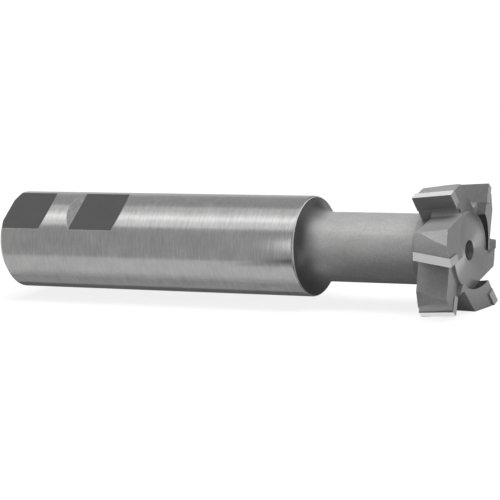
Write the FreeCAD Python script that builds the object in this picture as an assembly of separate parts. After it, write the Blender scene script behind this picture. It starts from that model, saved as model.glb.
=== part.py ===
import FreeCAD, Part
import math
import os
from FreeCAD import Vector, Rotation, Placement

# T slot cutter lying on its side, in millimetres and degrees.
# X runs along the tool axis from the back end of the shank to the cutting end, and Z is up.
# Round the axis, 0 degrees is at -Y and 90 degrees is at +Z. The teeth lead towards smaller angles.

# Shank
SHANK_D = 25.4
SHANK_LENGTH = 88.9
BACK_CHAMFER = 1.2
FLAT_HEIGHT = 10.9
FLAT_ANGLE = 53.9
FLAT_WALL_ANGLE = 45.0
REAR_FLAT_LENGTH = 12.5
FLAT_GAP = 9.4
FRONT_FLAT_LENGTH = 13.2

# Shoulder and neck
NECK_D = 17.5
SHOULDER_ROUND = 0.9
SHOULDER_BLEND = 5.2
NECK_BLEND = 2.5

# Head, with a slightly dished hub face inside the ring of teeth
OVERALL_LENGTH = 133.35
CUTTING_D = 34.1
BODY_STEP = 0.45
BACK_PAD = 1.5
HUB_D = 18.9
HUB_SET_BACK = 2.45
HUB_DISH = 2.0

# Teeth
TOOTH_COUNT = 6
FIRST_TOOTH_ANGLE = 0.0
LEAN = 8.6
RAKE = 8.0
STAGGER = 3.05
BODY_SET_BACK = 0.15
FRONT_RAMP = 12.4
BACK_RAMP = 10.5

# Gullets between the teeth
GULLET_ANGLE = 64.0
GULLET_DEPTH = 6.9
GULLET_ROOT_R = 1.2

# Bevel at the heel of each tooth
BEVEL_START = 16.4
BEVEL_END = 26.4
BEVEL_SLOPE = 38.5

# Carbide tips and the relief ground on them
TIP_LENGTH = 9.85
TIP_HEIGHT = 4.65
TIP_THICKNESS = 2.0
TIP_RELIEF = 8.0
TIP_SIDE_RELIEF = 3.0

# Centre holes
FRONT_CENTRE_D = 4.9
BACK_CENTRE_D = 6.3
CENTRE_CONE = 60.0
PILOT_SHARE = 0.42
PILOT_DEPTH = 3.0
PILOT_POINT = 120.0

# How far a cutting shape runs past what it cuts
OVERRUN = 3.0

shank_r = SHANK_D / 2
neck_r = NECK_D / 2
cutting_r = CUTTING_D / 2
head_r = cutting_r - BODY_STEP
hub_r = HUB_D / 2
tooth_pitch = 360.0 / TOOTH_COUNT
front_tip_end = OVERALL_LENGTH
back_tip_end = OVERALL_LENGTH - STAGGER - TIP_LENGTH
high_back = back_tip_end + BODY_SET_BACK
high_front = front_tip_end - BODY_SET_BACK
low_back = high_back + STAGGER
low_front = high_front - STAGGER
turned_back = high_back + BACK_PAD
middle = (back_tip_end + front_tip_end) / 2
hub_rim_x = OVERALL_LENGTH - HUB_SET_BACK
hub_centre_x = hub_rim_x - hub_r * math.tan(math.radians(HUB_DISH))


def degrees_sin(angle):
    return math.sin(math.radians(angle))


def degrees_cos(angle):
    return math.cos(math.radians(angle))


def degrees_tan(angle):
    return math.tan(math.radians(angle))


def outward(angle):
    """Unit vector away from the axis at an angle round it."""
    return Vector(0, -degrees_cos(angle), degrees_sin(angle))


def around(angle):
    """Unit vector round the axis, towards larger angles."""
    return Vector(0, degrees_sin(angle), degrees_cos(angle))


def at_x(x):
    return Vector(x, 0, 0)


def prism(points, sweep):
    """Solid made by moving a closed flat outline along a vector."""
    return Part.Face(Part.makePolygon(points + [points[0]])).extrude(sweep)


def turned(edges):
    """Solid of revolution about the tool axis of a closed outline in the XZ plane."""
    face = Part.Face(Part.Wire(edges))
    return face.revolve(Vector(0, 0, 0), Vector(1, 0, 0), 360)


def line(a, b):
    return Part.LineSegment(Vector(a[0], 0, a[1]), Vector(b[0], 0, b[1])).toShape()


def arc(centre, radius, start, end):
    """Arc in the XZ plane between two angles measured from +X towards +Z."""
    points = []
    for angle in (start, (start + end) / 2, end):
        x = centre[0] + radius * degrees_cos(angle)
        r = centre[1] + radius * degrees_sin(angle)
        points.append(Vector(x, 0, r))
    return Part.Arc(*points).toShape()


def shank_and_neck():
    """Shank, shoulder, neck and the core that carries the teeth, as one turned blank."""
    round_x = SHANK_LENGTH - SHOULDER_ROUND
    round_r = shank_r - SHOULDER_ROUND
    both = SHOULDER_ROUND + SHOULDER_BLEND
    meeting = math.degrees(math.asin((neck_r + SHOULDER_BLEND - round_r) / both))
    neck_start = round_x + both * degrees_cos(meeting)
    blend_start = turned_back - NECK_BLEND
    return turned([
        line((0, 0), (0, shank_r - BACK_CHAMFER)),
        line((0, shank_r - BACK_CHAMFER), (BACK_CHAMFER, shank_r)),
        line((BACK_CHAMFER, shank_r), (round_x, shank_r)),
        arc((round_x, round_r), SHOULDER_ROUND, 90, meeting),
        arc((neck_start, neck_r + SHOULDER_BLEND), SHOULDER_BLEND, 180 + meeting, 270),
        line((neck_start, neck_r), (blend_start, neck_r)),
        arc((blend_start, neck_r + NECK_BLEND), NECK_BLEND, 270, 360),
        line((turned_back, neck_r + NECK_BLEND), (turned_back, hub_r)),
        line((turned_back, hub_r), (high_front, hub_r)),
        line((high_front, hub_r), (high_front, 0)),
        line((high_front, 0), (0, 0)),
    ])


def hub_recess():
    """What is turned off in front of the dished hub face."""
    end = front_tip_end + OVERRUN
    return turned([
        line((hub_centre_x, 0), (hub_rim_x, hub_r)),
        line((hub_rim_x, hub_r), (end, hub_r)),
        line((end, hub_r), (end, 0)),
        line((end, 0), (hub_centre_x, 0)),
    ])


def driving_flat(start, end, open_start):
    """What is milled off the shank for one flat, with sloping walls at its ends."""
    rise = shank_r - FLAT_HEIGHT + OVERRUN
    run = rise / degrees_tan(FLAT_WALL_ANGLE)
    up = outward(FLAT_ANGLE)
    across = around(FLAT_ANGLE) * SHANK_D
    base = up * FLAT_HEIGHT - across * 0.5
    if open_start:
        first, first_run = start - OVERRUN, 0
    else:
        first, first_run = start, run
    outline = [
        base + at_x(first),
        base + at_x(end),
        base + at_x(end + run) + up * rise,
        base + at_x(first - first_run) + up * rise,
    ]
    return prism(outline, across)


def centre_hole(face_x, direction, mouth_d):
    """Centre drilling with a cone for a pointed centre and a pilot hole below it."""
    mouth_r = mouth_d / 2
    pilot_r = mouth_r * PILOT_SHARE
    cone_depth = (mouth_r - pilot_r) / degrees_tan(CENTRE_CONE / 2)
    way = Vector(direction, 0, 0)
    mouth_step = mouth_r + OVERRUN * degrees_tan(CENTRE_CONE / 2)
    cone = Part.makeCone(mouth_step, pilot_r, OVERRUN + cone_depth, at_x(face_x) - way * OVERRUN, way)
    pilot = Part.makeCylinder(pilot_r, PILOT_DEPTH, at_x(face_x) + way * cone_depth, way)
    tip_depth = pilot_r / degrees_tan(PILOT_POINT / 2)
    bottom_x = at_x(face_x) + way * (cone_depth + PILOT_DEPTH)
    bottom = Part.makeCone(pilot_r, 0, tip_depth, bottom_x, way)
    return cone.fuse([pilot, bottom])


class Tooth:
    """Place and directions of one tooth of the head.

    In the section at the middle of the head, inward runs down the rake face and behind runs away
    from it, square to the rake face. Odd teeth lean one way and stand out at the front, and even
    teeth lean the other way and stand out at the back.
    """

    def __init__(self, number):
        self.number = number
        self.angle = FIRST_TOOTH_ANGLE + tooth_pitch * (number - 1)
        self.stands_out_at_front = number % 2 == 1
        self.out = outward(self.angle)
        self.round = around(self.angle)
        self.inward = self.round * degrees_sin(RAKE) - self.out * degrees_cos(RAKE)
        self.behind = self.round * degrees_cos(RAKE) + self.out * degrees_sin(RAKE)
        self.edge = self.out * cutting_r
        lean = -LEAN if self.stands_out_at_front else LEAN
        self.slope = self.round * degrees_tan(lean)
        if self.stands_out_at_front:
            self.tip_back = front_tip_end - TIP_LENGTH
        else:
            self.tip_back = back_tip_end
        self.tip_front = self.tip_back + TIP_LENGTH

    def point(self, down, back, x):
        """Point at a distance down the rake face and behind it, on the section at x."""
        shift = self.slope * (x - middle)
        return at_x(x) + self.edge + self.inward * down + self.behind * back + shift

    def on_rake_face(self, x):
        """Point of the rake face on the section at x, level with the cutting edge at the middle."""
        return at_x(x) + self.edge + self.behind * (self.slope.dot(self.behind) * (x - middle))

    def leaning_prism(self, outline, x_start, x_end):
        """Outline of (down, back) pairs moved along the lean of the tooth."""
        points = [self.point(down, back, x_start) for down, back in outline]
        return prism(points, self.point(0, 0, x_end) - self.point(0, 0, x_start))

    def carbide_tip(self):
        """One carbide tip, with relief behind its cutting edge and on the end that stands out."""
        land_drop = TIP_THICKNESS * degrees_tan(TIP_RELIEF + RAKE)
        outline = [(0, 0), (TIP_HEIGHT, 0), (TIP_HEIGHT, TIP_THICKNESS), (land_drop, TIP_THICKNESS)]
        tip = self.leaning_prism(outline, self.tip_back, self.tip_front)
        reach = TIP_THICKNESS + OVERRUN
        relief = reach * degrees_tan(TIP_SIDE_RELIEF)
        if self.stands_out_at_front:
            end, way = self.tip_front, 1
        else:
            end, way = self.tip_back, -1
        wedge = [
            self.point(-OVERRUN, 0, end),
            self.point(-OVERRUN, reach, end) - at_x(way * relief),
            self.point(-OVERRUN, reach, end) + at_x(way * OVERRUN),
            self.point(-OVERRUN, 0, end) + at_x(way * OVERRUN),
        ]
        return tip.cut(prism(wedge, self.inward * (TIP_HEIGHT + 2 * OVERRUN)))

    def pocket(self):
        """Seat of the tip, open at both ends, at the rake face and at the rim."""
        outline = [(-OVERRUN, -OVERRUN), (TIP_HEIGHT, -OVERRUN), (TIP_HEIGHT, TIP_THICKNESS),
                   (-OVERRUN, TIP_THICKNESS)]
        return self.leaning_prism(outline, self.tip_back - OVERRUN, self.tip_front + OVERRUN)

    def gullet(self):
        """Leaning groove in front of the rake face, with a round root."""
        x = back_tip_end - OVERRUN
        half = GULLET_ANGLE / 2
        tangent = GULLET_ROOT_R / degrees_tan(half)
        root = self.point(GULLET_DEPTH, 0, x)
        rake_out = self.inward * -1
        heel_out = rake_out * degrees_cos(GULLET_ANGLE) - self.behind * degrees_sin(GULLET_ANGLE)
        middle_out = rake_out * degrees_cos(half) - self.behind * degrees_sin(half)
        reach = cutting_r + OVERRUN
        rake_end = root + rake_out * reach
        heel_end = root + heel_out * reach
        rake_root = root + rake_out * tangent
        heel_root = root + heel_out * tangent
        root_middle = root + middle_out * (GULLET_ROOT_R / degrees_sin(half) - GULLET_ROOT_R)
        wire = Part.Wire([
            Part.LineSegment(rake_end, rake_root).toShape(),
            Part.Arc(rake_root, root_middle, heel_root).toShape(),
            Part.LineSegment(heel_root, heel_end).toShape(),
            Part.LineSegment(heel_end, rake_end).toShape(),
        ])
        sweep = self.point(0, 0, front_tip_end + OVERRUN) - self.point(0, 0, x)
        return Part.Face(wire).extrude(sweep)

    def beyond_rake_face(self, side):
        """Block on one side of the plane of the rake face, ahead of it (-1) or behind it (1)."""
        far = side * CUTTING_D
        outline = [(-CUTTING_D, 0), (CUTTING_D, 0), (CUTTING_D, far), (-CUTTING_D, far)]
        return self.leaning_prism(outline, back_tip_end - OVERRUN, front_tip_end + OVERRUN)

    def block(self, next_tooth):
        """Steel of the tooth from its rake face to the next one.

        The side where the tooth stands out falls in a ramp behind the tip and is flat after that.
        """
        if self.stands_out_at_front:
            high, low, level, slope, way = high_front, low_back, low_front, FRONT_RAMP, at_x(-1)
        else:
            high, low, level, slope, way = high_back, low_front, turned_back, BACK_RAMP, at_x(1)
        drop = abs(level - high)
        ramp, tail = drop / degrees_tan(slope), cutting_r + OVERRUN
        on_high = self.on_rake_face(high) - self.inward * head_r
        on_low = self.on_rake_face(low) - self.inward * head_r
        outline = [
            on_low - self.behind * OVERRUN,
            on_high - self.behind * OVERRUN - way * (OVERRUN * degrees_tan(slope)),
            on_high + self.behind * ramp + way * drop,
            on_high + self.behind * tail + way * drop,
            on_low + self.behind * tail,
        ]
        start = at_x(back_tip_end - OVERRUN)
        length = front_tip_end - back_tip_end + 2 * OVERRUN
        ring = Part.makeCylinder(head_r, length, start, Vector(1, 0, 0))
        ring = ring.cut(Part.makeCylinder(neck_r, length, start, Vector(1, 0, 0)))
        block = ring.common(prism(outline, self.inward * CUTTING_D))
        block = block.cut(self.beyond_rake_face(-1))
        return block.cut(next_tooth.beyond_rake_face(1))

    def turned_clearance(self, next_tooth):
        """What is turned off behind a tooth that stands out at the front, down to the neck."""
        start = back_tip_end - OVERRUN
        rim = cutting_r + OVERRUN
        ring = turned([
            line((start, neck_r), (low_back - NECK_BLEND, neck_r)),
            arc((low_back - NECK_BLEND, neck_r + NECK_BLEND), NECK_BLEND, 270, 360),
            line((low_back, neck_r + NECK_BLEND), (low_back, rim)),
            line((low_back, rim), (start, rim)),
            line((start, rim), (start, neck_r)),
        ])
        ring = ring.cut(self.beyond_rake_face(-1))
        return ring.cut(next_tooth.beyond_rake_face(1))

    def heel_bevel(self):
        """Flat milled across the heel, widest on the side where the tooth stands out."""
        if self.stands_out_at_front:
            wide_x, narrow_x = low_front, low_back
        else:
            wide_x, narrow_x = low_back, low_front
        wide = at_x(wide_x) + outward(self.angle + BEVEL_START) * head_r
        narrow = at_x(narrow_x) + outward(self.angle + BEVEL_END) * head_r
        down = self.round * degrees_cos(BEVEL_SLOPE) - self.out * degrees_sin(BEVEL_SLOPE)
        along = (wide - narrow).normalize()
        normal = along.cross(down).normalize()
        if normal.dot(self.out) < 0:
            normal = normal * -1
        reach = TIP_LENGTH
        corner = narrow - along * reach
        end = wide + along * reach
        outline = [corner, end, end + down * reach, corner + down * reach]
        return prism(outline, normal * reach)


def cutter_body(teeth):
    """The whole steel piece, with its gullets, bevels, pockets, flats and centre holes."""
    pairs = list(zip(teeth, teeth[1:] + teeth[:1]))
    blocks = [tooth.block(after) for tooth, after in pairs]
    body = shank_and_neck().fuse(blocks)
    body = body.cut(hub_recess())
    for tooth, after in pairs:
        if tooth.stands_out_at_front:
            body = body.cut(tooth.turned_clearance(after))
        body = body.cut(tooth.gullet())
        body = body.cut(tooth.heel_bevel())
        body = body.cut(tooth.pocket())
    front_start = REAR_FLAT_LENGTH + FLAT_GAP
    body = body.cut(driving_flat(0, REAR_FLAT_LENGTH, True))
    body = body.cut(driving_flat(front_start, front_start + FRONT_FLAT_LENGTH, False))
    body = body.cut(centre_hole(0, 1, BACK_CENTRE_D))
    body = body.cut(centre_hole(hub_centre_x, -1, FRONT_CENTRE_D))
    return body.removeSplitter()


teeth = [Tooth(number) for number in range(1, TOOTH_COUNT + 1)]
parts = {"cutter_body": cutter_body(teeth)}
for tooth in teeth:
    parts["carbide_tip_%d" % tooth.number] = tooth.carbide_tip()

os.makedirs("parts", exist_ok=True)
for name, shape in parts.items():
    shape.exportStep("parts/%s.step" % name)
    print("%s: %d solid, %.2f mm3, valid %s" % (name, len(shape.Solids), shape.Volume, shape.isValid()))
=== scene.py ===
"""Dresses the T slot cutter: ground, turned and milled steel, carbide tips and a plain studio."""

import logging
import math
from dataclasses import dataclass, field
from enum import Enum
from functools import reduce
from typing import Any

import bpy
from mathutils import Matrix, Vector


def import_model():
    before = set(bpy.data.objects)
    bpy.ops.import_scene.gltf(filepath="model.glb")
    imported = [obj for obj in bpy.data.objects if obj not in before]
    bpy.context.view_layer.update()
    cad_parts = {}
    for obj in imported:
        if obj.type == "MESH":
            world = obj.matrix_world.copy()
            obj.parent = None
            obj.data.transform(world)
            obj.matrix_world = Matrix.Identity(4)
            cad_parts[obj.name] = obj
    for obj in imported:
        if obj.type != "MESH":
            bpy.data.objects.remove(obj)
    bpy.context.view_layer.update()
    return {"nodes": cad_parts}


log = logging.getLogger("t_slot_cutter")

Node = bpy.types.Node
Socket = bpy.types.NodeSocket
Piece = bpy.types.Object
Pair = tuple[float, float]
Triple = tuple[float, float, float]
# What an input takes: another node's output, a number or a vector.
Value = Socket | float | Triple

# Lengths are in metres throughout.
MM = 0.001
WHITE = (1.0, 1.0, 1.0, 1.0)

# The floor is close under the shank. The lowest tooth, at -16.5 mm, dips through it by 1.3 mm.
# The cards lie on it in two layers.
FLOOR_Z = -15.2 * MM
CARD_Z = FLOOR_Z + 0.2 * MM
UPPER_CARD_Z = CARD_Z + 0.1 * MM

# How a card can be turned: flat, facing the front or facing along X.
LYING = (0.0, 0.0, 0.0)
UPRIGHT = (math.radians(90.0), 0.0, 0.0)
SIDEWAYS = (0.0, math.radians(90.0), 0.0)


class Lay(Enum):
    """Which way the marks of a machining step run."""

    AROUND = "round the tool axis"
    FACING = "in circles on a turned face"
    STRAIGHT = "straight across a milled or ground face"
    GRAIN = "no direction, as blasting leaves it"


@dataclass(frozen=True)
class Limit:
    """Soft limit of a zone.

    Attributes:
        none: The value at which the zone has faded out.
        full: The value from which it holds fully, above the other or below it.
    """

    none: float
    full: float


@dataclass(frozen=True)
class Pattern:
    """A procedural noise.

    Attributes:
        scale: How fine it is.
        detail: Its octaves.
        weight: Weight of the finer octaves.
        spread: How much finer it is along each axis, or None where it is even.
    """

    scale: float
    detail: float = 2.0
    weight: float = 0.5
    spread: Triple | None = None


@dataclass(frozen=True)
class Surface:
    """Look of one machined surface.

    Attributes:
        grey: Its brightness.
        rough: Its roughness.
        metal: How metallic it is.
        mottle: How much its brightness and roughness vary.
        marks: How strongly its tool marks stand out.
        stretch: How far its highlights are drawn out.
        lay: Which way its tool marks run.
    """

    grey: float
    rough: float
    metal: float
    mottle: float
    marks: float
    stretch: float = 0.0
    lay: Lay = Lay.GRAIN


@dataclass(frozen=True)
class Wear:
    """How broken edges, tool marks and slow changes of grey show on a metal, the edges painted
    brighter.

    Attributes:
        mark_depth: Depth of the tool marks, in metres.
        edge_radius: Radius of the broken edges, in metres.
        edge_gain: How much brighter the broken edges are painted, partly for wear and partly as a
            painted highlight.
        clouds: The slow changes of grey.
        edge_samples: How many rays look for an edge.
        edge_bend: Cosine of the turn that an edge gives the normal.
        cloud_share: Share of the slow changes in the mottle, the rest coming from the marks.
        grey_swing: How far the mottle moves the brightness.
        rough_swing: How far it moves the roughness.
        warmth: Red against green, and green against blue.
    """

    mark_depth: float
    edge_radius: float
    edge_gain: float
    clouds: Pattern
    edge_samples: int = 6
    edge_bend: Limit = Limit(0.995, 0.86)
    cloud_share: float = 0.35
    grey_swing: float = 4.0
    rough_swing: float = 0.5
    warmth: float = 1.003


@dataclass(frozen=True)
class SteelFinish:
    """Surfaces of the steel piece, as each machining step left them, with painted shade in some
    places and a painted highlight on the shank's rim, and their tool marks.
    """

    satin: Surface = Surface(grey=0.435, rough=0.46, metal=0.4, mottle=0.22, marks=0.8)
    head: Surface = Surface(grey=0.35, rough=0.46, metal=0.4, mottle=0.18, marks=0.7)
    front_face: Surface = Surface(grey=0.325, rough=0.40, metal=0.5, mottle=0.10, marks=0.5,
                                  stretch=0.4, lay=Lay.FACING)
    rake_wall: Surface = Surface(grey=0.28, rough=0.46, metal=0.4, mottle=0.16, marks=0.6)
    # Painted shade: the walls under the tips in front of the hub are darkened as if in shadow.
    pocket_wall: Surface = Surface(grey=0.15, rough=0.46, metal=0.4, mottle=0.16, marks=0.6)
    # Partly painted shade: the turned shoulder is darkened for the shade that falls on it.
    shoulder: Surface = Surface(grey=0.185, rough=0.37, metal=0.9, mottle=0.14, marks=0.5,
                                stretch=0.2, lay=Lay.AROUND)
    hub_face: Surface = Surface(grey=0.34, rough=0.36, metal=0.7, mottle=0.08, marks=0.5,
                                stretch=0.8, lay=Lay.FACING)
    # Painted shade: the wall of the step round the hub is made nearly black, as if in deep
    # shadow.
    recess_wall: Surface = Surface(grey=0.035, rough=0.50, metal=0.3, mottle=0.20, marks=0.5)
    ground: Surface = Surface(grey=0.56, rough=0.22, metal=1.0, mottle=0.22, marks=0.8,
                              stretch=0.35, lay=Lay.AROUND)
    # Partly painted: the milled floors of the flats are darkened to stand in for the dark
    # reflection that they show.
    flat_floor: Surface = Surface(grey=0.088, rough=0.42, metal=0.5, mottle=0.14, marks=0.5,
                                  lay=Lay.STRAIGHT)
    flat_wall: Surface = Surface(grey=0.33, rough=0.40, metal=0.6, mottle=0.45, marks=1.0,
                                 lay=Lay.STRAIGHT)
    # Painted highlight: a bright ring on the shank's rim at its front end.
    sharp_edge: Surface = Surface(grey=0.80, rough=0.30, metal=0.5, mottle=0.30, marks=0.3)
    end_face: Surface = Surface(grey=0.50, rough=0.26, metal=1.0, mottle=0.10, marks=0.5,
                                stretch=0.5, lay=Lay.FACING)
    # Painted shade: the insides of the centre holes are darkened as if in shadow.
    bore: Surface = Surface(grey=0.10, rough=0.50, metal=0.5, mottle=0.20, marks=0.5)
    around: Pattern = Pattern(2600.0, detail=4.0, weight=0.75, spread=(1.0, 0.10, 0.10))
    facing: Pattern = Pattern(3000.0, weight=0.6)
    straight: Pattern = Pattern(1.0, detail=3.0, weight=0.6, spread=(1400.0, 2600.0, 1.0))
    grain: Pattern = Pattern(1900.0, detail=3.0, weight=0.6)
    wear: Wear = Wear(mark_depth=6e-6, edge_radius=0.16 * MM, edge_gain=0.5,
                      clouds=Pattern(150.0, detail=3.0, weight=0.55, spread=(1.0, 2.0, 2.0)))


@dataclass(frozen=True)
class CarbideFinish:
    """Surfaces of a brazed and ground carbide tip, with painted shade on some ends, and their
    marks.
    """

    land: Surface = Surface(grey=0.95, rough=0.26, metal=0.6, mottle=0.06, marks=0.3,
                            lay=Lay.STRAIGHT)
    end: Surface = Surface(grey=0.50, rough=0.34, metal=0.5, mottle=0.10, marks=0.4)
    # Painted shade: the ends of the tips that lie towards the back are darkened as if in shadow.
    dull_end: Surface = Surface(grey=0.20, rough=0.42, metal=0.4, mottle=0.12, marks=0.5)
    rake: Surface = Surface(grey=0.24, rough=0.40, metal=0.6, mottle=0.20, marks=0.6)
    straight: Pattern = Pattern(4200.0, weight=0.6, spread=(0.12, 1.0, 1.0))
    grain: Pattern = Pattern(3200.0, detail=3.0, weight=0.6)
    wear: Wear = Wear(mark_depth=5e-6, edge_radius=0.08 * MM, edge_gain=0.35,
                      clouds=Pattern(400.0))


@dataclass
class Graph:
    """A node tree, with short methods for the nodes that the finishes and the studio use.

    Attributes:
        owner: The material or world that the tree belongs to.
        tree: The tree, cleared.
    """

    owner: bpy.types.Material | bpy.types.World
    tree: bpy.types.NodeTree = field(init=False)

    def __post_init__(self) -> None:
        """Clears the tree and keeps it."""
        self.owner.use_nodes = True
        self.tree = self.owner.node_tree
        self.tree.nodes.clear()

    def add(self, kind: str, **settings: Any) -> Node:
        """Adds a node.

        Args:
            kind: The node's type name.
            settings: Attributes to set on it.

        Returns:
            The new node.
        """
        node = self.tree.nodes.new(kind)
        for name, value in settings.items():
            setattr(node, name, value)
        return node

    def put(self, socket: Socket, value: Value) -> None:
        """Links or sets an input.

        Args:
            socket: The input socket.
            value: An output socket, a number or a tuple.
        """
        if isinstance(value, bpy.types.NodeSocket):
            self.tree.links.new(value, socket)
        else:
            socket.default_value = value

    def fill(self, node: Node, *values: Value) -> Node:
        """Puts values into a node's first inputs.

        Args:
            node: The node.
            values: What goes into them, in order.

        Returns:
            The node.
        """
        for socket, value in zip(node.inputs, values):
            self.put(socket, value)
        return node

    def calc(self, operation: str, *values: Value, clamp: bool = False) -> Socket:
        """Adds a Math node.

        Args:
            operation: The operation's name.
            values: The numbers that it works on.
            clamp: Whether the result is kept between 0 and 1.

        Returns:
            The result.
        """
        node = self.add("ShaderNodeMath", operation=operation, use_clamp=clamp)
        return self.fill(node, *values).outputs[0]

    def plus(self, a: Value, b: Value, clamp: bool = False) -> Socket:
        """Sum of two numbers."""
        return self.calc("ADD", a, b, clamp=clamp)

    def minus(self, a: Value, b: Value) -> Socket:
        """Difference of two numbers."""
        return self.calc("SUBTRACT", a, b)

    def times(self, a: Value, b: Value, clamp: bool = False) -> Socket:
        """Product of two numbers."""
        return self.calc("MULTIPLY", a, b, clamp=clamp)

    def over(self, a: Value, b: Value) -> Socket:
        """First number divided by the second."""
        return self.calc("DIVIDE", a, b)

    def both(self, *masks: Socket) -> Socket:
        """Where all the masks hold, as their product."""
        return reduce(self.times, masks)

    def fade(self, value: Value, limit: Limit, start: float = 0.0, end: float = 1.0) -> Socket:
        """Smooth change from start to end while a value crosses a limit.

        Args:
            value: The value.
            limit: Where the change begins and ends.
            start: The result at the limit's none.
            end: The result at its full.

        Returns:
            The result.
        """
        node = self.add("ShaderNodeMapRange", interpolation_type="SMOOTHSTEP", clamp=True)
        return self.fill(node, value, limit.none, limit.full, start, end).outputs[0]

    def mix(self, share: Value, a: Value, b: Value) -> Socket:
        """Mixes two numbers.

        Args:
            share: How much of b.
            a: First number.
            b: Second number.

        Returns:
            The mixed number.
        """
        node = self.add("ShaderNodeMix", data_type="FLOAT")
        self.put(node.inputs[0], share)
        self.put(node.inputs[2], a)
        self.put(node.inputs[3], b)
        return node.outputs[0]

    def split(self, vector: Socket) -> tuple[Socket, Socket, Socket]:
        """Takes a vector apart.

        Args:
            vector: The vector.

        Returns:
            Its x, y and z.
        """
        x, y, z = self.fill(self.add("ShaderNodeSeparateXYZ"), vector).outputs
        return x, y, z

    def vector(self, x: Value, y: Value, z: Value) -> Socket:
        """Joins three numbers into a vector."""
        return self.fill(self.add("ShaderNodeCombineXYZ"), x, y, z).outputs[0]

    def scaled(self, vector: Socket, factors: Triple) -> Socket:
        """Multiplies a vector by one factor for each axis."""
        node = self.add("ShaderNodeVectorMath", operation="MULTIPLY")
        return self.fill(node, vector, factors).outputs[0]

    def dot(self, vector: Socket, direction: Value) -> Socket:
        """Dot product of two vectors."""
        node = self.add("ShaderNodeVectorMath", operation="DOT_PRODUCT")
        return self.fill(node, vector, direction).outputs["Value"]

    def length(self, vector: Socket) -> Socket:
        """Length of a vector."""
        node = self.add("ShaderNodeVectorMath", operation="LENGTH")
        return self.fill(node, vector).outputs["Value"]

    def noise(self, place: Socket, pattern: Pattern) -> Socket:
        """Adds a noise texture.

        Args:
            place: Where it is read.
            pattern: What it is like.

        Returns:
            Its value, about 0.5 on average.
        """
        if pattern.spread is not None:
            place = self.scaled(place, pattern.spread)
        node = self.add("ShaderNodeTexNoise")
        self.put(node.inputs["Vector"], place)
        node.inputs["Scale"].default_value = pattern.scale
        node.inputs["Detail"].default_value = pattern.detail
        node.inputs["Roughness"].default_value = pattern.weight
        return node.outputs[0]

    def grey(self, value: Value, warmth: float = 1.0) -> Socket:
        """Makes a colour from a brightness.

        Args:
            value: The brightness.
            warmth: Red against green, and green against blue.

        Returns:
            The colour.
        """
        red, blue = self.times(value, warmth), self.over(value, warmth)
        return self.fill(self.add("ShaderNodeCombineColor"), red, value, blue).outputs[0]

    def bump(self, height: Value, distance: float, normal: Socket) -> Socket:
        """Adds a bump.

        Args:
            height: Its height, 0 to 1.
            distance: What a height of 1 stands for, in metres.
            normal: The normal that it bends.

        Returns:
            The bent normal.
        """
        node = self.add("ShaderNodeBump")
        node.inputs["Distance"].default_value = distance
        self.put(node.inputs["Height"], height)
        self.put(node.inputs["Normal"], normal)
        return node.outputs[0]

    def mirrored(self, paths: Node) -> Socket:
        """Whether a ray comes from a reflection or through glass, by its Light Path node."""
        return self.calc("MAXIMUM", paths.outputs["Is Glossy Ray"],
                         paths.outputs["Is Transmission Ray"])

    def glow(self, kind: str, strength: Value) -> Socket:
        """Adds a shader that gives white light.

        Args:
            kind: The node's type name, an emission or a background.
            strength: How bright it is, 1 for white.

        Returns:
            The shader.
        """
        node = self.add(kind)
        node.inputs["Color"].default_value = WHITE
        self.put(node.inputs["Strength"], strength)
        return node.outputs[0]

    def close(self, shader: Socket, kind: str = "ShaderNodeOutputMaterial") -> None:
        """Ends the tree with an output node that shows the shader."""
        self.fill(self.add(kind), shader)


@dataclass
class Spot:
    """A point of the metal and the way its surface faces, as sockets that the zones compare.

    Attributes:
        graph: The tree that reads it.
        place: The point, in the part's own coordinates.
        x: Its distance from the back end of the shank.
        y: Its distance towards the back.
        z: Its height.
        r: Its distance from the tool axis.
        normal: The way that the surface faces.
        along: How squarely it faces along the tool axis, 0 to 1.
    """

    graph: Graph
    place: Socket = field(init=False)
    x: Socket = field(init=False)
    y: Socket = field(init=False)
    z: Socket = field(init=False)
    r: Socket = field(init=False)
    normal: Socket = field(init=False)
    along: Socket = field(init=False)

    def __post_init__(self) -> None:
        """Adds the nodes that read the point and its normal."""
        graph = self.graph
        self.place = graph.add("ShaderNodeTexCoord").outputs["Object"]
        self.x, self.y, self.z = graph.split(self.place)
        self.r = graph.calc("SQRT", self.with_radius(self.y, self.z))
        self.normal = graph.add("ShaderNodeNewGeometry").outputs["True Normal"]
        self.along = graph.calc("ABSOLUTE", graph.split(self.normal)[0])

    def with_radius(self, y: Socket, z: Socket) -> Socket:
        """Dot product of a direction across the axis with the point's own."""
        return self.graph.plus(self.graph.times(y, self.y), self.graph.times(z, self.z))

    def outward(self) -> Socket:
        """How squarely the surface faces away from the tool axis, -1 to 1."""
        _, y, z = self.graph.split(self.normal)
        return self.graph.over(self.with_radius(y, z), self.r)

    def turning(self) -> Socket:
        """Compares the surface's normal with the way round the tool axis.

        Returns:
            How squarely it faces that way, -1 to 1.
        """
        graph = self.graph
        _, y, z = graph.split(self.normal)
        return graph.over(graph.minus(graph.times(y, self.z), graph.times(z, self.y)), self.r)


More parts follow.
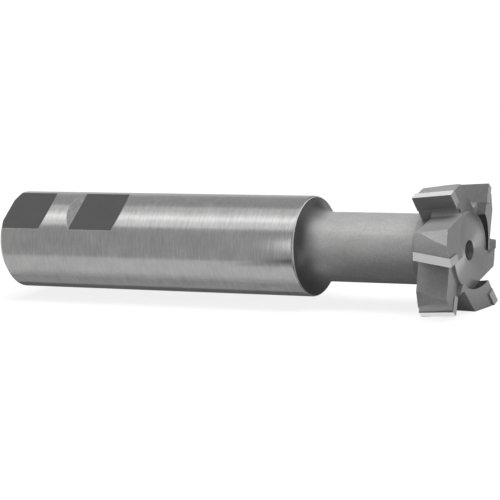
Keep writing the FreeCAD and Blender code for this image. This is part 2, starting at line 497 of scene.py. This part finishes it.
@dataclass
class MetalShader:
    """Principled metal whose numbers are mixed zone by zone.

    Attributes:
        graph: The material's tree.
        start: The surface that lies under all the others.
        lays: Height of the tool marks for each lay.
        numbers: The numbers of Surface, mixed so far.
        height: Height of the tool marks, mixed so far.
    """

    graph: Graph
    start: Surface
    lays: dict[Lay, Socket]
    numbers: dict[str, Value] = field(init=False)
    height: Socket = field(init=False)

    def __post_init__(self) -> None:
        """Starts from the first surface."""
        names = ("grey", "rough", "metal", "mottle", "marks", "stretch")
        self.numbers = {name: getattr(self.start, name) for name in names}
        self.height = self.lays[self.start.lay]

    def lay_over(self, surface: Surface, *masks: Socket) -> None:
        """Lays another surface over the earlier ones where all the masks hold.

        Args:
            surface: Its look.
            masks: Where it goes, each 0 to 1.
        """
        share = self.graph.both(*masks)
        for name, earlier in self.numbers.items():
            self.numbers[name] = self.graph.mix(share, earlier, getattr(surface, name))
        self.height = self.graph.mix(share, self.height, self.lays[surface.lay])

    def finish(self, wear: Wear, place: Socket, tangent: Socket | None = None) -> None:
        """Links the mixed numbers to a shader and ends the tree.

        Args:
            wear: How edges, with their wear and painted highlight, marks and slow changes show.
            place: Where the slow changes are read.
            tangent: Direction in which highlights are drawn out, or None.
        """
        graph, numbers = self.graph, self.numbers
        soft = graph.add("ShaderNodeBevel", samples=wear.edge_samples)
        soft.inputs["Radius"].default_value = wear.edge_radius
        plain = graph.add("ShaderNodeNewGeometry").outputs["Normal"]
        # Broken edges are painted brighter: partly their wear, partly a painted highlight.
        edge_wear_and_highlight = graph.fade(graph.dot(soft.outputs[0], plain), wear.edge_bend)
        cloud = graph.mix(wear.cloud_share, self.height, graph.noise(place, wear.clouds))
        swing = graph.times(graph.minus(cloud, 0.5), numbers["mottle"])
        grey = graph.times(numbers["grey"], graph.plus(1.0, graph.times(swing, wear.grey_swing)))
        grey = graph.times(grey, graph.plus(1.0, graph.times(edge_wear_and_highlight, wear.edge_gain)), clamp=True)
        rough = graph.plus(numbers["rough"], graph.times(swing, wear.rough_swing), clamp=True)
        marks = graph.times(self.height, numbers["marks"])
        shader = graph.add("ShaderNodeBsdfPrincipled")
        graph.put(shader.inputs["Base Color"], graph.grey(grey, wear.warmth))
        graph.put(shader.inputs["Roughness"], rough)
        graph.put(shader.inputs["Metallic"], numbers["metal"])
        normal = graph.bump(marks, wear.mark_depth, soft.outputs[0])
        graph.put(shader.inputs["Normal"], normal)
        if tangent is not None:
            graph.put(shader.inputs["Anisotropic"], numbers["stretch"])
            graph.put(shader.inputs["Tangent"], tangent)
        graph.close(shader.outputs[0])


def coat(piece: Piece, material: bpy.types.Material) -> None:
    """Puts a material into every slot of a piece."""
    for slot in piece.material_slots:
        slot.material = material


@dataclass
class CutterBody:
    """The steel piece: shank with two flats, neck and toothed head.

    Lengths are in metres, from the back end of the shank or from the tool axis. Each zone is a
    soft limit on such a length or, where that is said, on the cosine between the surface's
    normal and a direction.

    Attributes:
        node: Its node in the frame.
        shank_end: Front end of the shank.
        shank_r: Radius of the shank.
        chamfer: Length of the chamfer at the back end.
        flats_end: Front end of the front flat's floor.
        flat_height: Height of the flats over the tool axis.
        flat_angle: How far up the flats face, in degrees from the front.
        hub_front: Front of the hub.
        hub_r: Radius of the hub.
        back_bore_r: Radius of the centre hole in the back end.
        front_bore_r: Radius of the centre hole in the hub.
        shoulder: From the neck back to the shank.
        head: The head.
        facing: Faces square to the axis, as a cosine.
        rake: Walls that face the way of cutting, as a cosine.
        pocket: Walls that stand in front of the hub, where painted shade goes.
        recess: The step round the hub, whose wall gets painted shade.
        recess_inward: Walls that face the axis, as a cosine.
        recess_r: Walls close to the hub.
        hub: The front of the hub.
        hub_disc: The hub inside its rim.
        shank: The shank.
        round_part: The shank outside its flats.
        front_part: The shank near its front end, which is round all over.
        rim_back: The shank's rim at its front end, which gets a painted highlight, from behind.
        rim_front: The same rim, from the front.
        back_end: The back end with its chamfer.
        floor_over: The flats' floors, from above.
        floor_under: The flats' floors, from below.
        floor_facing: Faces parallel to the flats, as a cosine.
        floor_front: The flats' floors, from the front.
        back_bore: Inside of the back centre hole.
        back_bore_mouth: Its mouth.
        back_bore_depth: Its depth.
        front_bore: Inside of the front centre hole.
        front_bore_depth: Its depth.
        front_bore_wall: Its walls and not the hub's face, as a cosine.
        face_pull: How strongly highlights on a turned face are drawn outwards.
        finish: Its surfaces.
    """

    node: str = "cutter_body"
    shank_end: float = 88.6 * MM
    shank_r: float = 12.7 * MM
    chamfer: float = 1.2 * MM
    flats_end: float = 35.2 * MM
    flat_height: float = 10.9 * MM
    flat_angle: float = 53.9
    hub_front: float = 130.3 * MM
    hub_r: float = 9.45 * MM
    back_bore_r: float = 3.2 * MM
    front_bore_r: float = 2.5 * MM
    shoulder: Limit = Limit(95.2 * MM, shank_end + 0.2 * MM)
    head: Limit = Limit(119.0 * MM, 119.5 * MM)
    facing: Limit = Limit(0.9, 0.98)
    rake: Limit = Limit(-0.6, -0.8)
    pocket: Limit = Limit(hub_front + 0.1 * MM, hub_front + 0.5 * MM)
    recess: Limit = Limit(hub_front, hub_front + 0.1 * MM)
    recess_inward: Limit = Limit(-0.7, -0.9)
    recess_r: Limit = Limit(hub_r + 0.4 * MM, hub_r + 0.1 * MM)
    hub: Limit = Limit(hub_front - 1.0 * MM, hub_front - 0.5 * MM)
    hub_disc: Limit = Limit(hub_r, hub_r - 0.1 * MM)
    shank: Limit = Limit(shank_end + 0.1 * MM, shank_end - 0.1 * MM)
    round_part: Limit = Limit(shank_r - 0.08 * MM, shank_r - 0.04 * MM)
    front_part: Limit = Limit(shank_end - 2.0 * MM, shank_end - 1.5 * MM)
    rim_back: Limit = Limit(shank_end - 0.15 * MM, shank_end - 0.05 * MM)
    rim_front: Limit = Limit(shank_end + 0.12 * MM, shank_end + 0.04 * MM)
    back_end: Limit = Limit(chamfer + 0.02 * MM, chamfer)
    floor_over: Limit = Limit(flat_height + 0.05 * MM, flat_height + 0.02 * MM)
    floor_under: Limit = Limit(flat_height - 0.4 * MM, flat_height - 0.3 * MM)
    floor_facing: Limit = Limit(0.9, 0.97)
    floor_front: Limit = Limit(flats_end + 0.3 * MM, flats_end + 0.2 * MM)
    back_bore: Limit = Limit(back_bore_r, back_bore_r - 0.05 * MM)
    back_bore_mouth: Limit = Limit(0.01 * MM, 0.03 * MM)
    back_bore_depth: Limit = Limit(20.0 * MM, 19.0 * MM)
    front_bore: Limit = Limit(front_bore_r, front_bore_r - 0.05 * MM)
    front_bore_depth: Limit = Limit(110.0 * MM, 111.0 * MM)
    front_bore_wall: Limit = Limit(0.98, 0.9)
    face_pull: float = 100.0
    finish: SteelFinish = SteelFinish()

    @property
    def flat_normal(self) -> Triple:
        """The way that the flats face."""
        turn = math.radians(self.flat_angle)
        return 0.0, -math.cos(turn), math.sin(turn)

    @property
    def flat_across(self) -> Triple:
        """The way across the flats, square to the tool axis."""
        turn = math.radians(self.flat_angle)
        return 0.0, math.sin(turn), math.cos(turn)

    def marks(self, graph: Graph, spot: Spot) -> dict[Lay, Socket]:
        """Makes the tool marks.

        Args:
            graph: The material's tree.
            spot: The point that they are read at.

        Returns:
            Their height for each lay.
        """
        across = graph.dot(spot.place, self.flat_across)
        return {
            Lay.AROUND: graph.noise(spot.place, self.finish.around),
            Lay.FACING: graph.noise(graph.vector(spot.r, 0.0, 0.0), self.finish.facing),
            Lay.STRAIGHT: graph.noise(graph.vector(spot.x, across, 0.0), self.finish.straight),
            Lay.GRAIN: graph.noise(spot.place, self.finish.grain),
        }

    def lay_front(self, look: MetalShader, spot: Spot) -> None:
        """Lays the surfaces in front of the shank.

        Args:
            look: The shader, which starts with the neck's satin.
            spot: The point that the zones compare.
        """
        finish, fade = self.finish, look.graph.fade
        on_head = fade(spot.x, self.head)
        square = fade(spot.along, self.facing)
        on_rake = look.graph.both(on_head, fade(spot.turning(), self.rake))
        # Darker shoulder, partly painted shade.
        look.lay_over(finish.shoulder, fade(spot.x, self.shoulder))
        look.lay_over(finish.head, on_head)
        look.lay_over(finish.front_face, on_head, square)
        look.lay_over(finish.rake_wall, on_rake)
        # Painted shade on the walls in front of the hub.
        look.lay_over(finish.pocket_wall, on_rake, fade(spot.x, self.pocket))
        # Painted shade: the step's inward wall is made nearly black.
        look.lay_over(finish.recess_wall, fade(spot.x, self.recess),
                      fade(spot.outward(), self.recess_inward), fade(spot.r, self.recess_r))
        look.lay_over(finish.hub_face, square, fade(spot.r, self.hub_disc),
                      fade(spot.x, self.hub))

    def lay_shank(self, look: MetalShader, spot: Spot) -> None:
        """Lays the surfaces of the shank and of its flats.

        Args:
            look: The shader.
            spot: The point that the zones compare.
        """
        graph, finish, fade = look.graph, self.finish, look.graph.fade
        on_shank = fade(spot.x, self.shank)
        turned = graph.calc("MAXIMUM", fade(spot.r, self.round_part),
                            fade(spot.x, self.front_part))
        height = graph.dot(spot.place, self.flat_normal)
        level = graph.dot(spot.normal, self.flat_normal)
        look.lay_over(finish.flat_wall, on_shank)
        look.lay_over(finish.ground, on_shank, turned)
        # Painted highlight on the shank's rim.
        look.lay_over(finish.sharp_edge, fade(spot.x, self.rim_back),
                      fade(spot.x, self.rim_front))
        look.lay_over(finish.end_face, fade(spot.x, self.back_end))
        # Darker floors of the flats, partly painted dark reflection.
        look.lay_over(finish.flat_floor, fade(height, self.floor_over),
                      fade(height, self.floor_under), fade(level, self.floor_facing),
                      fade(spot.x, self.floor_front))

    def lay_bores(self, look: MetalShader, spot: Spot) -> None:
        """Lays the insides of the two centre holes, darkened as painted shade.

        Args:
            look: The shader.
            spot: The point that the zones compare.
        """
        bore, fade = self.finish.bore, look.graph.fade
        look.lay_over(bore, fade(spot.r, self.back_bore), fade(spot.x, self.back_bore_mouth),
                      fade(spot.x, self.back_bore_depth))
        look.lay_over(bore, fade(spot.r, self.front_bore), fade(spot.x, self.front_bore_depth),
                      fade(spot.along, self.front_bore_wall))

    def tangent(self, graph: Graph, spot: Spot) -> Socket:
        """Finds the way in which highlights are drawn out.

        Args:
            graph: The material's tree.
            spot: The point on the metal.

        Returns:
            The direction, along the axis or, on a turned face, outwards from it.
        """
        square = graph.fade(spot.along, self.facing)
        pull = graph.times(square, self.face_pull)
        return graph.vector(graph.minus(1.0, square), graph.times(spot.y, pull),
                            graph.times(spot.z, pull))

    def steel(self) -> bpy.types.Material:
        """Makes the steel material, with one zone for each machined surface.

        Returns:
            The material.
        """
        material = bpy.data.materials.new("cutter_steel")
        graph = Graph(material)
        spot = Spot(graph)
        look = MetalShader(graph, self.finish.satin, self.marks(graph, spot))
        self.lay_front(look, spot)
        self.lay_shank(look, spot)
        self.lay_bores(look, spot)
        look.finish(self.finish.wear, spot.place, self.tangent(graph, spot))
        return material

    def dress(self, nodes: dict[str, Piece]) -> list[Piece]:
        """Gives the body its material.

        Args:
            nodes: The frame's nodes by name.

        Returns:
            The body, as a list of one.
        """
        body = nodes[self.node]
        coat(body, self.steel())
        return [body]


@dataclass
class CarbideTips:
    """The six tips brazed into the head.

    Attributes:
        node: Their nodes in the frame, but for the number.
        count: How many there are.
        ends: Their front and back ends, as a cosine with the tool axis.
        dull_ends: The tip ends that get painted shade, by their distance towards the back.
        lands: The lands round the outside, as a cosine with the way outwards.
        finish: Their surfaces.
    """

    node: str = "carbide_tip_"
    count: int = 6
    ends: Limit = Limit(0.9, 0.97)
    dull_ends: Limit = Limit(12.0 * MM, 12.5 * MM)
    lands: Limit = Limit(0.85, 0.93)
    finish: CarbideFinish = CarbideFinish()

    def carbide(self) -> bpy.types.Material:
        """Makes the carbide material: bright ground lands, duller ends with painted shade on
        those towards the back, and dark rake faces.

        Returns:
            The material.
        """
        material = bpy.data.materials.new("ground_carbide")
        graph, finish = Graph(material), self.finish
        spot = Spot(graph)
        lays = {
            Lay.GRAIN: graph.noise(spot.place, finish.grain),
            Lay.STRAIGHT: graph.noise(spot.place, finish.straight),
        }
        look = MetalShader(graph, finish.rake, lays)
        on_end = graph.fade(spot.along, self.ends)
        look.lay_over(finish.end, on_end)
        # Painted shade on the tip ends that lie towards the back.
        look.lay_over(finish.dull_end, on_end, graph.fade(spot.y, self.dull_ends))
        look.lay_over(finish.land, graph.fade(spot.outward(), self.lands))
        look.finish(finish.wear, spot.place)
        return material

    def dress(self, nodes: dict[str, Piece]) -> list[Piece]:
        """Gives every tip its material.

        Args:
            nodes: The frame's nodes by name.

        Returns:
            The tips.
        """
        material = self.carbide()
        tips = [nodes[self.node + str(number)] for number in range(1, self.count + 1)]
        for tip in tips:
            coat(tip, material)
        return tips


@dataclass(frozen=True)
class Lamp:
    """A soft area lamp.

    Attributes:
        name: Its name.
        place: Where it is.
        size: Its length along X and its width.
        level: How bright its surface is, 1 for white.
        aim: The point that it faces, or None for the nearest point of the tool axis.
        mirrored: Whether the metal reflects it.
    """

    name: str
    place: Triple
    size: Pair
    level: float
    aim: Triple | None = None
    mirrored: bool = True


@dataclass(frozen=True)
class Card:
    """A card that only the metal's reflections show.

    Attributes:
        name: Its name.
        level: How bright it is, 1 for white.
        centre: Where its middle is.
        size: Its length and width.
        turn: How it is turned, in radians.
        rim: How bright its rim is where it fades towards that, or None.
    """

    name: str
    level: float
    centre: Triple
    size: Pair
    turn: Triple = LYING
    rim: float | None = None


@dataclass
class Studio:
    """Pale floor, white surroundings, soft lamps, and cards for the bands on the metal, some of
    them painted shadow or painted reflection.

    Attributes:
        floor_size: Length and width of the floor.
        seen_floor: Grey of the floor, which carries the shadow.
        mirrored_floor: Its grey in reflections.
        floor_glow: What is added towards the camera near the middle, and 1 far out.
        floor_fade: Distance from the middle over which the glow rises.
        mirrored_glow: What is added in reflections.
        mirrored_world: How bright the surroundings are in reflections.
        world_light: How bright they are as light.
        card_fade: Where a card fades towards its rim, as shares of its size from the middle.
        lamps: The lamps.
        cards: The cards.
    """

    floor_size: Pair = (6.0, 6.0)
    seen_floor: float = 0.20
    mirrored_floor: float = 0.47
    floor_glow: float = 0.84
    floor_fade: Limit = Limit(0.2, 0.8)
    mirrored_glow: float = 0.08
    mirrored_world: float = 0.416
    world_light: float = 0.112
    card_fade: Limit = Limit(0.1, 0.5)
    lamps: tuple[Lamp, ...] = (
        Lamp("wide_softbox", (-0.3, -0.33, 0.68), (1.6, 0.50), 0.57),
        Lamp("narrow_softbox", (-0.3, -0.28, 0.73), (1.6, 0.16), 0.45),
        Lamp("overhead_softbox", (-0.3, 0.03, 0.80), (1.6, 0.30), 0.32),
        Lamp("high_fill", (0.30, -0.13, 0.86), (0.8, 0.6), 6.0, mirrored=False),
        Lamp("front_right_fill", (0.75, -0.65, 0.15), (0.5, 0.5), 2.2, aim=(0.07, 0.0, 0.0),
             mirrored=False),
    )
    cards: tuple[Card, ...] = (
        Card("front_grey_card", 0.42, (0.0, -0.768, CARD_Z), (3.0, 1.464)),
        Card("under_grey_card", 0.38, (0.0345, -0.0075, CARD_Z), (0.109, 0.006)),
        # Painted shadow: the dark cards under the shank and the neck stand in for the tool's
        # shadow on the floor, as reflections show it.
        Card("under_dark_card", 0.135, (0.046, 0.00775, CARD_Z), (0.132, 0.0245)),
        Card("under_neck_card", 0.155, (0.1025, -0.020, CARD_Z), (0.027, 0.031)),
        Card("under_edge_card", 0.60, (0.0905, -0.017, UPPER_CARD_Z), (0.004, 0.010)),
        # Painted reflection: a bright card under the head lights the lower lands, where the floor
        # lies in the tool's shadow.
        Card("under_head_card", 1.00, (0.125, -0.009, CARD_Z), (0.014, 0.006)),
        Card("beside_head_card", 7.0, (0.172, 0.012, CARD_Z), (0.030, 0.030)),
        Card("front_dark_card", 0.0, (0.0745, -0.046, UPPER_CARD_Z), (0.027, 0.038), rim=0.42),
        Card("front_white_card", 1.40, (0.0715, -0.050, 0.0120), (0.019, 0.036), UPRIGHT,
             rim=0.50),
        Card("back_dark_card", 0.10, (0.30, 1.2, 0.75), (1.1, 0.90), UPRIGHT),
        Card("right_dark_card", 0.10, (1.1, -0.275, 0.34), (0.7, 1.25), SIDEWAYS),
        Card("back_white_card", 0.60, (0.0, 1.3, 0.29), (3.0, 0.6), UPRIGHT),
    )

    def sheet(self, name: str, centre: Triple, size: Pair, turn: Triple = LYING) -> Piece:
        """Adds a flat sheet that is part of the studio.

        Args:
            name: Its name.
            centre: Where its middle is.
            size: Its length and width.
            turn: How it is turned, in radians.

        Returns:
            The sheet.
        """
        bpy.ops.object.select_all(action="DESELECT")
        bpy.ops.mesh.primitive_plane_add(size=1.0, location=centre, rotation=turn)
        sheet = bpy.context.object
        sheet.name = name
        sheet.scale = (size[0], size[1], 1.0)
        return sheet

    def lay_floor(self) -> None:
        """Lays the floor, white to the camera but for the object's shadow."""
        plane = self.sheet("studio_floor", (0.0, 0.0, FLOOR_Z), self.floor_size)
        material = bpy.data.materials.new("pale_floor")
        graph = Graph(material)
        paths = graph.add("ShaderNodeLightPath")
        mirrored = graph.mirrored(paths)
        matt = graph.add("ShaderNodeBsdfDiffuse")
        colour = graph.grey(graph.mix(mirrored, self.seen_floor, self.mirrored_floor))
        graph.put(matt.inputs["Color"], colour)
        away = graph.length(graph.add("ShaderNodeNewGeometry").outputs["Position"])
        level = graph.fade(away, self.floor_fade, self.floor_glow, 1.0)
        lift = graph.times(paths.outputs["Is Camera Ray"], level)
        strength = graph.plus(lift, graph.times(mirrored, self.mirrored_glow))
        both = graph.fill(graph.add("ShaderNodeAddShader"), matt.outputs[0],
                          graph.glow("ShaderNodeEmission", strength))
        graph.close(both.outputs[0])
        plane.data.materials.append(material)

    def add_card(self, card: Card) -> None:
        """Adds a card.

        Args:
            card: What it is like.
        """
        sheet = self.sheet(card.name, card.centre, card.size, card.turn)
        material = bpy.data.materials.new(card.name)
        graph = Graph(material)
        strength: Value = card.level
        if card.rim is not None:
            away = graph.length(graph.add("ShaderNodeTexCoord").outputs["Object"])
            strength = graph.fade(away, self.card_fade, card.level, card.rim)
        graph.close(graph.glow("ShaderNodeEmission", strength))
        sheet.data.materials.append(material)
        sheet.visible_camera = False
        sheet.visible_diffuse = False
        sheet.visible_shadow = False
        sheet.visible_transmission = False

    def surround(self) -> None:
        """Sets the surroundings: white to the camera, grey in reflections and as light."""
        world = bpy.data.worlds.new("studio_world")
        bpy.context.scene.world = world
        graph = Graph(world)
        paths = graph.add("ShaderNodeLightPath")
        level = graph.mix(graph.mirrored(paths), self.world_light, self.mirrored_world)
        seen = graph.mix(paths.outputs["Is Camera Ray"], level, 1.0)
        graph.close(graph.glow("ShaderNodeBackground", seen), "ShaderNodeOutputWorld")

    def add_lamp(self, lamp: Lamp) -> None:
        """Adds a lamp.

        Args:
            lamp: What it is like.
        """
        data = bpy.data.lights.new(lamp.name, "AREA")
        data.shape = "RECTANGLE"
        data.size, data.size_y = lamp.size
        data.energy = lamp.level * math.pi * lamp.size[0] * lamp.size[1]
        light = bpy.data.objects.new(lamp.name, data)
        bpy.context.collection.objects.link(light)
        place = Vector(lamp.place)
        out = (place - Vector(lamp.aim or (place.x, 0.0, 0.0))).normalized()
        side = (Vector((1.0, 0.0, 0.0)) - out * out.x).normalized()
        turn = Matrix((side, out.cross(side), out)).transposed().to_4x4()
        light.matrix_world = Matrix.Translation(place) @ turn
        light.visible_glossy = lamp.mirrored

    def build(self) -> None:
        """Builds the whole studio."""
        self.lay_floor()
        self.surround()
        for lamp in self.lamps:
            self.add_lamp(lamp)
        for card in self.cards:
            self.add_card(card)


@dataclass
class PhotoCamera:
    """The camera at the photograph's viewing angle.

    Attributes:
        place: Where it is.
        right: Its right in the scene.
        up: Its up in the scene.
        back: The way away from what it sees.
        lens: Focal length, in millimetres.
        sensor: Width of its sensor, in millimetres.
        near: The nearest that it sees, in metres.
    """

    place: Triple = (0.36766, -0.52203, 0.10424)
    right: Triple = (0.87216, 0.48431, -0.06920)
    up: Triple = (-0.02469, 0.18484, 0.98247)
    back: Triple = (0.48861, -0.85516, 0.17317)
    lens: float = 171.848
    sensor: float = 36.0
    near: float = 0.01

    def make(self) -> Piece:
        """Makes the camera and sets it as the scene's.

        Returns:
            The camera.
        """
        data = bpy.data.cameras.new("photo_camera")
        data.lens = self.lens
        data.sensor_width = self.sensor
        data.sensor_fit = "HORIZONTAL"
        data.clip_start = self.near
        camera = bpy.data.objects.new("photo_camera", data)
        bpy.context.collection.objects.link(camera)
        turn = Matrix((self.right, self.up, self.back)).transposed().to_4x4()
        camera.matrix_world = Matrix.Translation(self.place) @ turn
        bpy.context.scene.camera = camera
        return camera


def main() -> None:
    """Builds the scene."""
    logging.basicConfig(level=logging.INFO, format="%(message)s")
    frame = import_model()
    bpy.context.scene.view_settings.view_transform = "Standard"
    log.info("set %s", PhotoCamera().make().name)
    Studio().build()
    log.info("built the studio")
    for maker in (CutterBody(), CarbideTips()):
        for piece in maker.dress(frame["nodes"]):
            log.info("dressed %s", piece.name)


if __name__ == "__main__":
    main()
